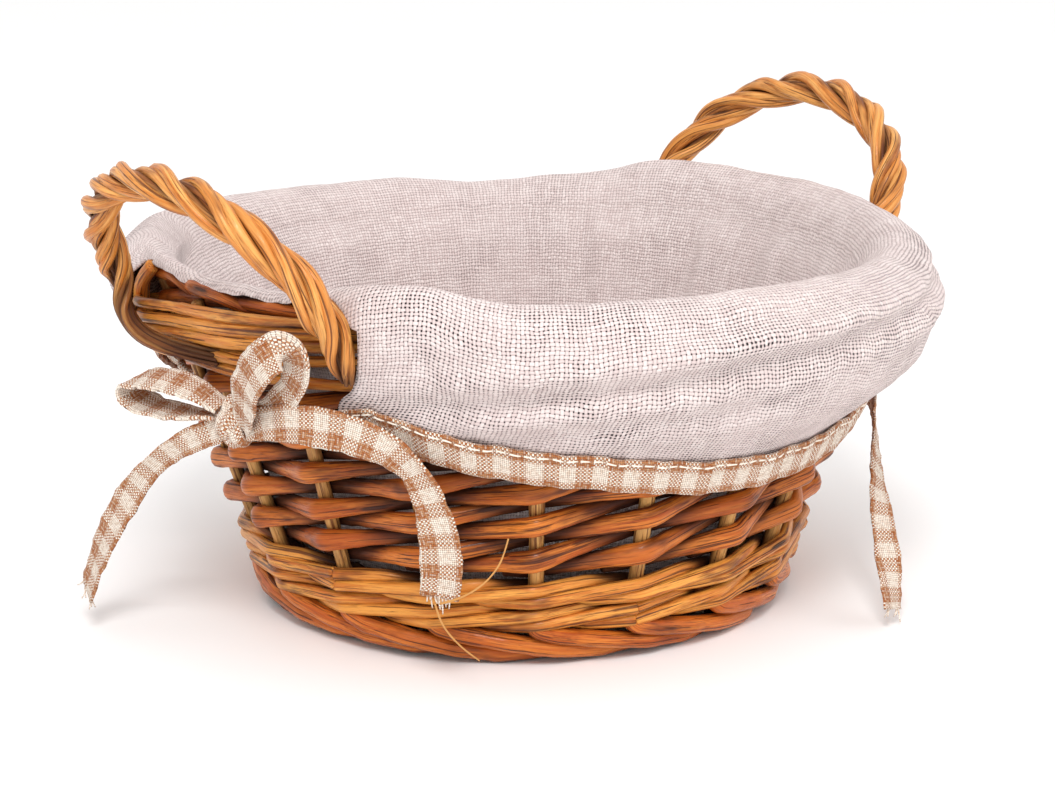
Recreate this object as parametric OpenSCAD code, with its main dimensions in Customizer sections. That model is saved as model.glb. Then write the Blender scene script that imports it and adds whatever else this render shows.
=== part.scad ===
// Round willow bread basket with two rope handles and a tied cloth liner.
// The origin is the middle of the foot, +Z is up, and the handles face along X.

/* [Wall] */
// Outside diameter of the foot
foot_d = 158; // [150:1:164]
// Outside diameter of the woven wall at its top
rim_d = 225; // [218:1:232]
// Height of the woven wall
wall_h = 105; // [103:1:110]
// Thickness of a side rod, front to back
side_rod_t = 4.2; // [3.8:0.1:4.4]

/* [Handles] */
// Height of the top of the handles above the floor
handle_h = 141; // [138:1:150]
// How far the top of a handle leans out past its feet
handle_lean = 20; // [14:1:24]
// Diameter of one of the three strands of a handle
strand_d = 5; // [4.4:0.1:5]

/* [Liner] */
// Lowest point of the hem above the floor
hem_low = 50; // [46:1:56]
// How much higher the hem is beside the handles
hem_rise = 27; // [22:1:28]
// Width of the checked tape along the hem
tape_w = 10; // [8:0.5:12]

/* [Hidden] */

// Colours
amber = [0.74, 0.40, 0.13];
honey = [0.83, 0.58, 0.27];
cane = [0.79, 0.66, 0.42];
calico = [0.92, 0.87, 0.84];
check = [0.78, 0.60, 0.48];

// Stakes: an even number divisible by three suits both the rows and the wales
stake_count = 18;
stake_step = 360 / stake_count;
first_stake = stake_step / 2;
stake_d = 4;

// Wall: every radius follows from the cone of the stakes' centre lines
gap = 0.2;
weave_swing = stake_d / 2 + side_rod_t / 2 + gap;
wall_depth = weave_swing + side_rod_t / 2;
wall_slope = (rim_d - foot_d) / 2 / wall_h;
wale_rod_d = 3.6;
wale_swing = stake_d / 2 + wale_rod_d / 2 + gap;
wale_h = 2 * (wale_rod_d + gap);
lower_z = 10;
side_z = lower_z + 2 * wale_h;
side_levels = 10;
border_h = 7;
upper_z = wall_h - border_h - 2 * wale_h;
side_pitch = (upper_z - side_z + gap) / (side_levels + 1);
side_rod_h = side_pitch - gap;

// Border rods: the path of each one, as share of its length, distance out and height
border_rod_d = 4.4;
border_span = 2.5 * stake_step;
foot_route = [[0, 0, 13], [0.12, 0.6, 9.5], [0.3, 3.2, 6.5], [0.5, 3.4, 3.4],
    [0.7, 1.5, 1.7], [0.85, -2, 1.7], [1, -6, 2.4]];
rim_route = [[0, 0, -6.6], [0.2, -2, -3.4], [0.4, -4.6, -1.8], [0.6, -4.2, 2.2],
    [0.8, 0.4, 2.2], [1, 4, 0]];

// Base: sticks that cross in the middle and fan out, with rods woven round them
spoke_count = 12;
spoke_d = 3.6;
spoke_pitch = 4.2;
cross_half = 9;
fan_start = 20;
base_rod_d = 3;
base_swing = (spoke_d + base_rod_d) / 2 + gap;
base_flat = 5; // degrees to each side of a spoke over which a rod lies flat
base_z = 9 + base_swing + base_rod_d / 2;
base_top = base_z + base_swing + base_rod_d / 2;

// Handles: an arch between two feet that stand outside the wall
foot_angle = 23.5;
strand_r = strand_d / 2;
twist_r = (strand_r + gap / 2) / sin(60);
rope_r = twist_r + strand_r;
foot_low = 88;
foot_share = 0.12; // share of a handle's length that each foot takes
arch_z = wall_h - 3;
arch_rise = handle_h - rope_r - arch_z;
handle_turns = 3.5;

// Liner
cloth_t = 1.2;
liner_gap = 0.6;
flap_edge = 27;
fold_z = wall_h + 5;
fold_low = wall_h + 1;
fold_out = 2.5; // how far the ends of a flap stand out past the wall
fold_bulge = 7; // how much further the middle of a flap bulges out
tape_t = 1.6;
tape_gap = 2;
tape_lean = wall_slope * tape_w + 1;
tie_fall = 0.6; // how far the tape falls in each degree past the end of its flap
tie_w = 12;
tie_t = 1.8;
knot_r = 109;
knot_z = 70;
knot_half = 3.8; // half the angle that a knot spans
tape_end = knot_half + 0.4; // angle from the middle of a knot to the end of a tape
left_knot = 184;
right_knot = 352;

// Bow ties: angle about Z, radius and height of the points that each one follows
left_front_loop = [[188, 111, 73], [191, 115, 80], [195, 119, 88], [199, 121, 93]];
left_rear_loop = [[180, 111, 71], [174, 115, 73], [168, 120, 74], [163, 125, 72]];
left_front_tail = [[189, 110, 70], [197, 114, 74], [204, 113, 74], [212, 111, 67],
    [215, 107, 56], [216, 104, 42], [216, 103, 28]];
left_rear_tail = [[180, 111, 66], [175, 115, 61], [170, 118, 55], [166, 121, 46],
    [163, 125, 34], [161, 130, 20], [160, 131, 10]];
right_front_loop = [[348, 111, 72], [344, 115, 77], [340, 119, 81], [336, 121, 82]];
right_rear_loop = [[356, 111, 72], [0, 115, 78], [4, 119, 85], [8, 121, 90]];
right_front_tail = [[348, 110, 66], [338, 107, 60], [325, 104, 53], [311, 101, 45],
    [302, 105, 33], [296, 110, 20], [292, 115, 9]];
right_rear_tail = [[356, 111, 66], [1, 114, 60], [6, 118, 50], [10, 122, 38],
    [13, 125, 25], [15, 126, 12]];

// ---- Geometry ----

// Point at angle a about Z, radius r and height z
function polar(a, r, z) = [r * cos(a), r * sin(a), z];

// Radius of the stakes' centre lines at height z
function stake_r(z) = foot_d / 2 - wall_depth + wall_slope * z;

// Radius of the outer face of the wall at height z
function wall_r(z) = stake_r(z) + wall_depth;

function unit(v) = v / norm(v);

// Horizontal direction from the Z axis to point p
function outward(p) = unit([p[0], p[1], 0]);

// Oval section of half sizes w, outward, and h, along the wall
function oval(w, h, sides) = [for (j = [0:sides - 1]) [w * cos(360 * j / sides), h * sin(360 * j / sides)]];

// Flat section of half sizes w, outward, and h, along the wall
function slab(w, h) = [[w, -h], [w, h], [-w, h], [-w, -h]];

// Direction of a path at its point i
function heading(path, i) = unit(path[min(i + 1, len(path) - 1)] - path[max(i - 1, 0)]);

// Section placed at point i of a path, with its first axis facing away from the Z axis
function placed(path, i, section, grow) =
    let (t = heading(path, i), o = outward(path[i]), u = unit(o - (o * t) * t), v = cross(t, u))
    [for (q = section) path[i] + grow * (u * q[0] + v * q[1])];

// Rings of a tube along a path; each end is drawn in to the share 'tip' of its size
function tube(path, section, tip = 1) =
    [for (i = [0:len(path) - 1])
        placed(path, i, section, (i == 0 || i == len(path) - 1) ? tip : 1)];

// Faces of one tube of n rings of m points, whose first point has number k
function tube_faces(n, m, k, closed) = concat(
    [for (i = [0:(closed ? n : n - 1) - 1], j = [0:m - 1])
        let (a = k + i * m + j,
            b = k + i * m + (j + 1) % m,
            c = k + (i + 1) % n * m + (j + 1) % m,
            d = k + (i + 1) % n * m + j)
        each [[a, c, b], [a, d, c]]],
    closed ? [] : [[for (j = [0:m - 1]) k + j], [for (j = [m - 1:-1:0]) k + (n - 1) * m + j]]);

// One solid for each tube in the list; all tubes have the same numbers of rings and points
module skin(tubes, closed = false) {
    n = len(tubes[0]);
    m = len(tubes[0][0]);
    polyhedron(
        points = [for (rings = tubes, ring = rings) each ring],
        faces = [for (k = [0:len(tubes) - 1]) each tube_faces(n, m, k * n * m, closed)]
    );
}

// ---- Woven rods ----

// Closed rod round the wall; place(a) gives its radius and height at angle a
function woven_ring(rings, sides, w, h, place) =
    [for (i = [0:rings - 1])
        let (a = first_stake + 360 * i / rings, p = place(a))
        [for (q = oval(w, h, sides)) polar(a, p[0] + q[0], p[1] - q[1])]];

// Side rod: starts behind one stake and climbs one level at each stake that it passes
module side_rod(number) {
    start = first_stake + (number - 1) * stake_step;
    rings = 3;
    path = [for (i = [0:rings * side_levels])
        let (level = i / rings, z = side_z + side_rod_h / 2 + level * side_pitch)
        polar(start + level * stake_step, stake_r(z) - weave_swing * cos(180 * level), z)];
    color(amber)
        skin([tube(path, oval(side_rod_t / 2, side_rod_h / 2, 6))]);
}

// Three-rod wale: each rod passes in front of two stakes and behind the third. It runs low in front
// of the first of the two and high in front of the second, so the three rods never meet.
module wale(z) {
    repeat = 3 * stake_step;
    climb_h = (wale_rod_d + gap) / 2;
    color(honey)
        skin([for (rod = [0:2])
            woven_ring(2 * stake_count, 5, wale_rod_d / 2, wale_rod_d / 2,
                function (a)
                    let (turn = (a - first_stake - rod * stake_step) / repeat,
                        share = turn - floor(turn),
                        off = abs(share - 0.5), // 0 midway along the front, 0.5 behind the third stake
                        swing = off <= 1 / 6 ? 1 : 2 - 6 * off,
                        climb = off < 1 / 6 ? 6 * off : off <= 1 / 3 ? 1 : 3 - 6 * off,
                        lift = z + wale_h / 2 + climb_h * climb * sign(share - 0.5))
                    [stake_r(lift) + wale_swing * swing, lift])], closed = true);
}

// Rolled border: one short rod from each stake, each lying over the start of the next.
// What would reach below the floor is trimmed flat, so the basket stands level.
module rolled_border(z, route) {
    color(amber)
        skin([for (k = [0:stake_count - 1])
            let (path = [for (p = route)
                polar(first_stake + k * stake_step + p[0] * border_span,
                    stake_r(z) + p[1], z + p[2])])
            [for (ring = tube(path, oval(border_rod_d / 2, border_rod_d / 2, 6)))
                [for (p = ring) [p[0], p[1], max(0, p[2])]]]]);
}

// ---- Base and stakes ----

// Three sticks lie across three others and their ends fan out into evenly spaced spokes
module base_sticks() {
    reach = stake_r(base_z) - wall_depth - gap;
    lift = spoke_d / 2 + gap / 2;
    color(cane)
        for (side = [-1, 1])
            skin([for (i = [-1:1])
                let (a = i * 360 / spoke_count, near = i * spoke_pitch,
                    line = [[-reach * cos(a), -reach * sin(a), 0], [-fan_start, -near, 0],
                        [-cross_half, -near, side * lift], [cross_half, near, side * lift],
                        [fan_start, near, 0], [reach * cos(a), reach * sin(a), 0]])
                [for (k = [0:len(line) - 1])
                    let (p = line[k], t = heading(line, k), u = unit(cross(t, [0, 0, 1])), v = cross(t, u),
                        turned = side > 0)
                    [for (q = oval(spoke_d / 2, spoke_d / 2, 8))
                        let (w = p + u * q[0] + v * q[1])
                        turned ? [-w[1], w[0], base_z + w[2]] : [w[0], w[1], base_z + w[2]]]]]);
}

// Rounds of plain weave over and under the spokes
module base_weave() {
    rim = stake_r(base_z) - wall_depth - gap - base_rod_d;
    pitch = base_rod_d + 2 * gap;
    rounds = floor((rim - fan_start - base_rod_d) / pitch);
    color(cane)
        skin([for (k = [0:rounds])
            let (side = k % 2 == 0 ? 1 : -1)
            [for (i = [0:2 * spoke_count - 1])
                let (spoke = floor((i + 1) / 2),
                    a = spoke * 360 / spoke_count + (i % 2 == 0 ? 1 : -1) * base_flat,
                    z = base_z + side * (spoke % 2 == 0 ? 1 : -1) * base_swing)
                [for (q = oval(base_rod_d / 2, base_rod_d / 2, 5)) polar(a, rim - k * pitch + q[0], z - q[1])]]],
            closed = true);
}

module stakes() {
    foot_end = 14;
    top_end = wall_h - border_h - 1;
    low = stake_r(foot_end);
    tilt = atan(wall_slope);
    color(cane)
        for (k = [0:stake_count - 1])
            rotate([0, 0, first_stake + k * stake_step])
                translate([low, 0, foot_end])
                    rotate([0, tilt, 0])
                        cylinder(d = stake_d, h = (top_end - foot_end) / cos(tilt), $fn = 24);
}

// ---- Handles ----

// Centre line of a handle: t runs from 0 at one foot to 1 at the other
function handle_line(t) =
    let (leg = foot_share,
        half = rim_d / 2 - wall_slope * (wall_h - arch_z) + rope_r,
        reach = half * sin(foot_angle),
        out = half * cos(foot_angle),
        down = max(0, leg - t, t - 1 + leg) / leg,
        turn = 180 * min(1, max(0, (t - leg) / (1 - 2 * leg))),
        z = arch_z + arch_rise * sin(turn) - down * (arch_z - foot_low))
    [out + handle_lean * sin(turn) - down * wall_slope * (arch_z - foot_low),
        reach * cos(turn), z];

module handle_strand(facing, number) {
    steps = 44;
    across = [-sin(20), 0, cos(20)]; // never runs along the arch, so each section has a fixed top
    line = [for (i = [0:steps]) handle_line(i / steps)];
    path = [for (i = [0:steps])
        let (t = heading(line, i),
            u = unit(cross(t, across)),
            v = cross(t, u),
            a = 360 * (handle_turns * i / steps + number / 3))
        line[i] + twist_r * (u * cos(a) + v * sin(a))];
    color(amber)
        rotate([0, 0, facing])
            skin([tube(path, oval(strand_r, strand_r, 6))]);
}

// ---- Liner ----

// Radius of the liner's outer face at height z, inside the wall
function liner_r(z) = stake_r(z) - wall_depth - liner_gap;

module liner_bottom() {
    z = base_top + gap;
    color(calico)
        translate([0, 0, z])
            cylinder(r = liner_r(z) - cloth_t - gap, h = cloth_t, $fn = 72);
}

module liner_wall() {
    low = base_top + gap;
    color(calico)
        rotate_extrude($fn = 72)
            polygon([[liner_r(low), low], [liner_r(fold_low), fold_low],
                [liner_r(fold_low) - cloth_t, fold_low], [liner_r(low) - cloth_t, low]]);
}

// Height of the hem at an angle measured from the middle of a flap
function hem_z(a) = hem_low + hem_rise * pow(a / (90 - flap_edge), 2);

// Outer outline of a flap at an angle from its middle, from inside the rim to the hem
function flap_outline(a) =
    let (hem = hem_z(a),
        full = 1 - pow(abs(a) / (90 - flap_edge), 3),
        seam = hem + tape_w + gap,
        in_r = liner_r(fold_low),
        out_r = wall_r(wall_h))
    [[in_r + gap, fold_low + gap], [in_r + 2.5, fold_z - 1.5], [in_r + 7, fold_z],
        [out_r - 1, fold_z - 2], [out_r + fold_out - 0.5 + 0.6 * fold_bulge * full, fold_z - 8],
        [out_r + fold_out + fold_bulge * full, fold_z - 18],
        [out_r + fold_out - 1 + 0.95 * fold_bulge * full - 0.1 * (wall_h - hem),
            seam + 0.45 * (fold_z - 18 - seam)],
        [wall_r(seam) + tape_gap + tape_t + 1, seam]];

module flap(facing) {
    steps = 24;
    arc = 90 - flap_edge;
    color(calico)
        skin([[for (i = [0:steps])
            let (a = arc * (2 * i / steps - 1),
                outer = flap_outline(a),
                inner = [for (k = [len(outer) - 1:-1:0])
                    let (p = outer[max(k - 1, 0)], q = outer[min(k + 1, len(outer) - 1)], d = unit(q - p))
                    outer[k] + cloth_t * [d[1], -d[0]]])
            [for (p = concat(outer, inner)) polar(facing + a, p[0], p[1])]]]);
}

// Height of the lower edge of the tape at an angle from the middle of its flap
function tape_z(a) =
    abs(a) < 90 - flap_edge ? hem_z(a) : hem_low + hem_rise - (abs(a) - 90 + flap_edge) * tie_fall;

module tape(facing, first, last) {
    steps = 32;
    color(check)
        skin([[for (i = [0:steps])
            let (a = first + (last - first) * i / steps,
                z = tape_z(a),
                r = wall_r(z) + tape_gap)
            [for (q = [[tape_t, 0], [tape_t + tape_lean, tape_w], [tape_lean, tape_w], [0, 0]])
                polar(facing + a, r + q[0], z + q[1])]]]);
}

// ---- Bows ----

function route(points) = [for (p = points) polar(p[0], p[1], p[2])];

module knot(angle) {
    path = route([[angle - knot_half, knot_r - 0.5, knot_z], [angle - knot_half / 2, knot_r, knot_z + 0.5],
        [angle + knot_half / 2, knot_r, knot_z + 0.5], [angle + knot_half, knot_r - 0.5, knot_z]]);
    color(check)
        skin([tube(path, oval(3.6, tie_w / 2, 8), tip = 0.7)]);
}

module loop(points) {
    color(check)
        skin([tube(route(points), oval(3, tie_w / 2 - 0.5, 8), tip = 0.6)]);
}

module tail(points) {
    color(check)
        skin([tube(route(points), slab(tie_t / 2, tie_w / 2))]);
}

base_sticks();
base_weave();
stakes();
rolled_border(0, foot_route);  // foot_border
wale(lower_z);  // lower_wale_1
wale(lower_z + wale_h);  // lower_wale_2
side_rod(1);  // side_rod_01
side_rod(2);  // side_rod_02
side_rod(3);  // side_rod_03
side_rod(4);  // side_rod_04
side_rod(5);  // side_rod_05
side_rod(6);  // side_rod_06
side_rod(7);  // side_rod_07
side_rod(8);  // side_rod_08
side_rod(9);  // side_rod_09
side_rod(10);  // side_rod_10
side_rod(11);  // side_rod_11
side_rod(12);  // side_rod_12
side_rod(13);  // side_rod_13
side_rod(14);  // side_rod_14
side_rod(15);  // side_rod_15
side_rod(16);  // side_rod_16
side_rod(17);  // side_rod_17
side_rod(18);  // side_rod_18
wale(upper_z);  // upper_wale_1
wale(upper_z + wale_h);  // upper_wale_2
rolled_border(wall_h - border_h + 2, rim_route);  // rim_border
handle_strand(180, 0);  // left_handle_strand_1
handle_strand(180, 1);  // left_handle_strand_2
handle_strand(180, 2);  // left_handle_strand_3
handle_strand(0, 0);  // right_handle_strand_1
handle_strand(0, 1);  // right_handle_strand_2
handle_strand(0, 2);  // right_handle_strand_3
liner_bottom();
liner_wall();
flap(270);  // liner_front_flap
flap(90);  // liner_rear_flap
tape(270, left_knot + tape_end - 270, right_knot - tape_end - 270);  // front_tape
tape(90, right_knot + tape_end - 450, left_knot - tape_end - 90);  // rear_tape
knot(left_knot);  // left_bow_knot
loop(left_front_loop);  // left_bow_front_loop
loop(left_rear_loop);  // left_bow_rear_loop
tail(left_front_tail);  // left_bow_front_tail
tail(left_rear_tail);  // left_bow_rear_tail
knot(right_knot);  // right_bow_knot
loop(right_front_loop);  // right_bow_front_loop
loop(right_rear_loop);  // right_bow_rear_loop
tail(right_front_tail);  // right_bow_front_tail
tail(right_rear_tail);  // right_bow_rear_tail
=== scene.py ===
import math

import bmesh
import bpy
import numpy as np
from mathutils import Matrix, Vector


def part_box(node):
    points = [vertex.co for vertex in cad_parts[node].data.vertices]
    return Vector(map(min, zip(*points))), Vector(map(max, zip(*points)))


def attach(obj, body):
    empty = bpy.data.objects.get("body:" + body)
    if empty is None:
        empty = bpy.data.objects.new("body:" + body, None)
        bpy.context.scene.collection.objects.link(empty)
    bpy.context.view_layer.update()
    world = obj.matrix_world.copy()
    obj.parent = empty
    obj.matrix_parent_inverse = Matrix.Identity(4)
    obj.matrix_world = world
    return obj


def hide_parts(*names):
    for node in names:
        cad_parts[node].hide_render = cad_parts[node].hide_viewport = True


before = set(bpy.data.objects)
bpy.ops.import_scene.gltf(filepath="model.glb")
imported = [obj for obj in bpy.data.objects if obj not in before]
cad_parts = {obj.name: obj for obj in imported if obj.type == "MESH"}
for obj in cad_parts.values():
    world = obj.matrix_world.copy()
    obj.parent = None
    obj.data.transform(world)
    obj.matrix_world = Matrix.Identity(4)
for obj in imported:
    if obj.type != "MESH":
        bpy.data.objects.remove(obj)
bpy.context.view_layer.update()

MM = 0.001  # lengths below are in millimetres, and become metres in the meshes
TAU = 2 * math.pi


# ---- Camera ----

def make_camera(place, target, lens, roll):
    data = bpy.data.cameras.new("camera")
    data.sensor_width = 36
    data.lens = lens
    data.clip_start, data.clip_end = 0.01, 20
    cam = bpy.data.objects.new("camera", data)
    bpy.context.scene.collection.objects.link(cam)
    back = (Vector(place) - Vector(target)).normalized()
    right = Vector((0, 0, 1)).cross(back).normalized()
    up = back.cross(right)
    turn = math.radians(roll)
    c, s = math.cos(turn), math.sin(turn)
    right, up = right * c + up * s, up * c - right * s
    cam.matrix_world = Matrix((
        (right.x, up.x, back.x, place[0]),
        (right.y, up.y, back.y, place[1]),
        (right.z, up.z, back.z, place[2]),
        (0, 0, 0, 1)))
    bpy.context.scene.camera = cam


make_camera((-0.4860, -0.5397, 0.2422), (0.00126, -0.00114, 0.0563), 86.05, -0.47)


# ---- Sizes read from the frame ----

def heights(node):
    """Lowest and highest point of a node, in mm."""
    low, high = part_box(node)
    return low.z / MM, high.z / MM


def cone(node, share):
    """Mean radius and height of a node's lowest or highest corners, in mm."""
    co = np.array([v.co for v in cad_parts[node].data.vertices]) / MM
    z = co[:, 2]
    cut = z.min() + 2 if share == "low" else z.max() - 2
    pick = co[z < cut] if share == "low" else co[z > cut]
    return np.hypot(pick[:, 0], pick[:, 1]).mean(), pick[:, 2].mean()


(low_r, low_z), (high_r, high_z) = cone("stakes", "low"), cone("stakes", "high")
SLOPE = (high_r - low_r) / (high_z - low_z)
FOOT_R = low_r - SLOPE * low_z
STAKES = 18
STEP = 360 / STAKES  # degrees from stake to stake
FIRST = STEP / 2     # angle of the first stake
WALL_H = 105
SWING = 4.3          # how far a side rod's middle line passes in front of or behind a stake's
OUTSIDE, INSIDE = 6.4, 7.0  # from the stakes' middle line to the wall's outside and to the liner
side_low, side_high = heights("side_rod_01")
wale_z = [heights(n)[0] for n in ("lower_wale_1", "lower_wale_2", "upper_wale_1", "upper_wale_2")]


def stake_r(z):
    """Distance of the stakes' middle line from the axis at a height."""
    return FOOT_R + SLOPE * z


def wall_r(z):
    return stake_r(z) + OUTSIDE


def liner_r(z):
    return stake_r(z) - INSIDE


# ---- Paths ----

def polar(a, r, z):
    """Point at angle a in degrees, distance r from the axis and height z."""
    a = np.radians(a)
    return np.stack([r * np.cos(a), r * np.sin(a), z + 0 * a], -1)


def ease(x):
    x = np.clip(x, 0, 1)
    return x * x * (3 - 2 * x)


def bell(x, middle, wide):
    """Smooth hump of height 1 round the middle."""
    return np.exp(-((x - middle) / wide) ** 2)


def signed(a):
    """An angle brought to between -180 and 180 degrees."""
    return (a + 180) % 360 - 180


def wobble(x, seed, size):
    """Smooth random wave between about -1 and 1, whose longest period is size."""
    rng = np.random.default_rng(seed)
    total = 0
    for share, period in ((0.5, 1), (0.35, 0.57), (0.25, 0.31)):
        total = total + share * np.sin(TAU * x / (size * period) + rng.uniform(0, TAU))
    return total


def ring_wave(a, seed, lobes):
    """Smooth random wave that closes on itself round the circle; a in degrees."""
    rng = np.random.default_rng(seed)
    total = 0
    for share, k in ((0.5, lobes), (0.35, round(lobes * 1.75)), (0.25, round(lobes * 3.2))):
        total = total + share * np.sin(np.radians(a) * k + rng.uniform(0, TAU))
    return total


def blur(values, width):
    """Values smoothed over width samples, with both ends kept."""
    half = int(3 * width) + 1
    k = np.exp(-0.5 * (np.arange(-half, half + 1) / width) ** 2)
    k /= k.sum()
    front = 2 * values[:1] - values[half:0:-1]
    back = 2 * values[-1:] - values[-2:-half - 2:-1]
    padded = np.concatenate([front, values, back])
    out = [np.convolve(padded[:, i], k, "valid") for i in range(values.shape[1])]
    return np.stack(out, 1)


def lengths(line):
    """Length along a line up to each of its points."""
    return np.concatenate([[0], np.cumsum(np.linalg.norm(np.diff(line, axis=0), axis=1))])


def follow(points, step=1.2, soft=2.0):
    """A line through the points, cut every step mm, with corners rounded over about soft mm.
    Columns after the third are carried along."""
    points = np.asarray(points, float)
    at = lengths(points[:, :3])
    count = max(12, int(at[-1] / step))
    where = np.linspace(0, at[-1], count + 1)
    line = np.stack([np.interp(where, at, points[:, i]) for i in range(points.shape[1])], 1)
    width = soft / (at[-1] / count)
    while 3 * width + 2 > count:
        width *= 0.7
    return blur(line, width)


def unit(v):
    return v / np.maximum(np.linalg.norm(v, axis=-1, keepdims=True), 1e-9)


def spread(value, count):
    """A number repeated for every point of a line, or a list of numbers as it is."""
    return np.broadcast_to(np.asarray(value, float), count)


def headings(line):
    return unit(np.gradient(line, axis=0))


def wall_frames(line):
    """Outward and sideways directions along a line on the wall."""
    t = headings(line)
    out = unit(line * [1, 1, 0])
    u = unit(out - (out * t).sum(1, keepdims=True) * t)
    return u, np.cross(t, u)


def free_frames(line, start):
    """Directions that turn as little as possible along the line."""
    t = headings(line)
    u = np.zeros_like(line)
    u[0] = unit(np.asarray(start, float) - np.dot(start, t[0]) * t[0])
    for i in range(1, len(line)):
        u[i] = unit(u[i - 1] - np.dot(u[i - 1], t[i]) * t[i])
    return u, np.cross(t, u)


# ---- Meshes ----

class Mesh:
    """Collects surfaces, with what the materials read from their corners."""

    def __init__(self):
        self.co, self.faces, self.grain, self.tone, self.uv = [], [], [], [], []
        self.count = 0

    def grid(self, co, grain=None, tone=None, uv=None, wrap=False, caps=False, flip=False):
        rows, cols = co.shape[:2]
        k = self.count
        i, j = np.meshgrid(np.arange(rows - 1), np.arange(cols if wrap else cols - 1), indexing="ij")
        right = (j + 1) % cols
        quads = np.stack([i * cols + j, i * cols + right, (i + 1) * cols + right, (i + 1) * cols + j], -1)
        quads = quads.reshape(-1, 4) + k
        if flip:
            quads = quads[:, ::-1]
        self.faces += quads.tolist()
        if caps:
            first = list(range(k + cols - 1, k - 1, -1))
            last = list(range(k + (rows - 1) * cols, k + rows * cols))
            self.faces += [first[::-1], last[::-1]] if flip else [first, last]
        self.co.append(co.reshape(-1, 3))
        blank = np.zeros((rows, cols, 3))
        self.grain.append((blank if grain is None else grain).reshape(-1, 3))
        self.tone.append((blank if tone is None else tone).reshape(-1, 3))
        self.uv.append((np.zeros((rows, cols, 2)) if uv is None else uv).reshape(-1, 2))
        self.count += rows * cols

    def build(self, name, material, replaces=(), thick=None, merge=False):
        mesh = bpy.data.meshes.new(name)
        co = np.concatenate(self.co) * MM
        mesh.from_pydata(co.tolist(), [], self.faces)
        for label, values in (("grain", self.grain), ("tone", self.tone)):
            layer = mesh.attributes.new(label, "FLOAT_VECTOR", "POINT")
            layer.data.foreach_set("vector", np.concatenate(values).astype(np.float32).ravel())
        uv = np.concatenate(self.uv).astype(np.float32)
        corner = np.zeros(len(mesh.loops), np.int32)
        mesh.loops.foreach_get("vertex_index", corner)
        layer = mesh.uv_layers.new(name="cloth")
        layer.data.foreach_set("uv", uv[corner].ravel())
        mesh.polygons.foreach_set("use_smooth", [True] * len(mesh.polygons))
        mesh.update()
        obj = bpy.data.objects.new(name, mesh)
        bpy.context.scene.collection.objects.link(obj)
        if merge:
            bm = bmesh.new()
            bm.from_mesh(mesh)
            bmesh.ops.remove_doubles(bm, verts=bm.verts, dist=0.02 * MM)
            bm.to_mesh(mesh)
            bm.free()
        if thick:
            solid = obj.modifiers.new("thickness", "SOLIDIFY")
            solid.thickness = thick * MM
            solid.offset = -1
        mesh.materials.append(material)
        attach(obj, "root")
        if replaces:
            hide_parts(*replaces)
        return obj


# How far out from the stakes' middle line a lit face stands, and how far below it the painted shade becomes
# darkest
WALL_FACE, STAKE_FACE, RIM_FACE = (4.6, 6.2), (1.6, 3.4), (2.4, 5.5)
ROPE_FACE = (4.5, 2.7)  # the same, measured from the core of a rope
ROUNDED = 0.82          # size of a cut end's face, next to the rod


def rod(mesh, line, out, side, seed, hue=0.5, deep=0.0, sides=12, frames=None, rough=1.0,
        taper=(1, 1), face=None, core=None):
    """A willow rod of half sizes out and side along a line, with its small lumps and its scars.
    It gets painted shade where it lies deep: below a face of the wall, or near the core of a rope."""
    rng = np.random.default_rng(seed)
    u, v = frames or wall_frames(line)
    n = len(line)
    s = lengths(line)
    a = np.arange(sides) / sides * TAU
    swell = 1 + rough * (0.045 * wobble(s, seed, 46) + 0.02 * wobble(s, seed + 7, 9))
    swell = swell * np.linspace(taper[0], taper[1], n)
    size = swell[:, None] * (1 + 0.02 * rough * np.sin(2 * a[None] + wobble(s, seed + 3, 60)[:, None] * 3)
                             + 0.012 * rough * np.sin(3 * a[None] + s[:, None] / 14))
    at = rng.uniform(4, 20)  # scars where side shoots were cut
    while at < s[-1]:
        angle = rng.uniform(0, TAU)
        turn = (a[None] - angle + math.pi) % TAU - math.pi
        near = bell(s[:, None], at, 1.6)
        size = size + rng.uniform(0.05, 0.13) * near * bell(turn, 0, 0.6)
        at += rng.uniform(26, 52)
    x = spread(out, n)[:, None] * size * np.cos(a)
    y = spread(side, n)[:, None] * size * np.sin(a)
    co = line[:, None] + x[..., None] * u[:, None] + y[..., None] * v[:, None]
    start, end = line[0], line[-1]
    first = start + (co[0] - start) * ROUNDED - headings(line)[0] * 0.25
    last = end + (co[-1] - end) * ROUNDED + headings(line)[-1] * 0.25
    co = np.concatenate([np.stack([first, co[0]]), co[1:-1], np.stack([co[-1], last])])

    def pad(q):
        return np.concatenate([q[:1], q, q[-1:]])

    x, y = pad(x), pad(y)
    s2 = np.concatenate([[s[0] - 0.4], s, [s[-1] + 0.4]])
    along = s2 + 1000 * (seed % 97) * 0.73  # each rod has its own stretch of the grain
    grain = np.stack([np.broadcast_to(along[:, None], x.shape), x, y], -1) * MM
    # painted shade: the share given, and the depth below the lit face or towards a rope's core, darken the
    # rod's colour
    shade = pad(spread(deep, n))[:, None] + 0 * x
    if face:
        depth = (stake_r(co[..., 2]) + face[0] - np.hypot(co[..., 0], co[..., 1])) / face[1]
        shade = np.maximum(shade, np.clip(depth, 0, 1) ** 2.2)
    if core is not None:
        depth = (ROPE_FACE[0] - np.linalg.norm(co - pad(core)[:, None], axis=-1)) / ROPE_FACE[1]
        shade = np.maximum(shade, np.clip(depth, 0, 1) ** 1.2)
    tone = np.stack([np.full_like(shade, hue), shade, 0 * shade], -1)
    mesh.grid(co, grain, tone, wrap=True, caps=True, flip=True)


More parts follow.
